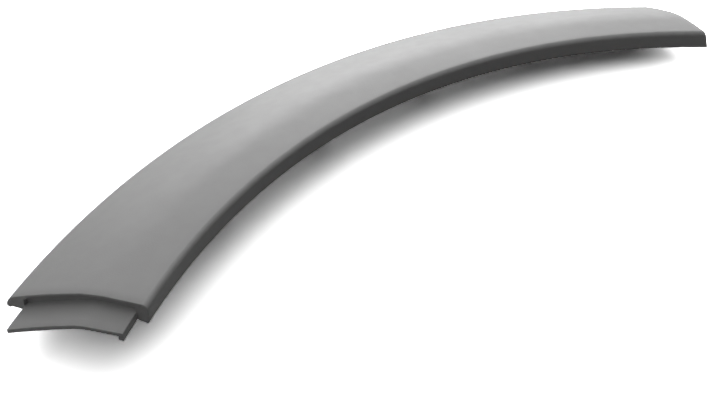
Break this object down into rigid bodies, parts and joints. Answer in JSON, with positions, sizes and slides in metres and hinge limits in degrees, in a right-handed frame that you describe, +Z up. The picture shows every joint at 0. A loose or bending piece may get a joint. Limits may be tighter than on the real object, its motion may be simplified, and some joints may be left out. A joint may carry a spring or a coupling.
{
  "type": "wheel arch trim",
  "caption": "Curved plastic wheel arch trim with a softly bent face, a low rim wall along the opening, a stepped tongue at one end and push clips behind",
  "frame": {"origin": "centre of the bounding box at the plane of the clip tips, on which the part lies", "axes": "+X along the arch's chord from the tongue end to the far end, +Y from the wheel opening out to the outer edge, +Z up through the face"},
  "size_m": [0.4723, 0.1362, 0.0374],
  "materials": {
    "trim_plastic": "matte, fine moulded grain",
    "clip_plastic": "matte"
  },
  "bodies": {
    "root": {"arch_trim": "trim_plastic", "trim_clips": "clip_plastic"}
  },
  "joints": []
}
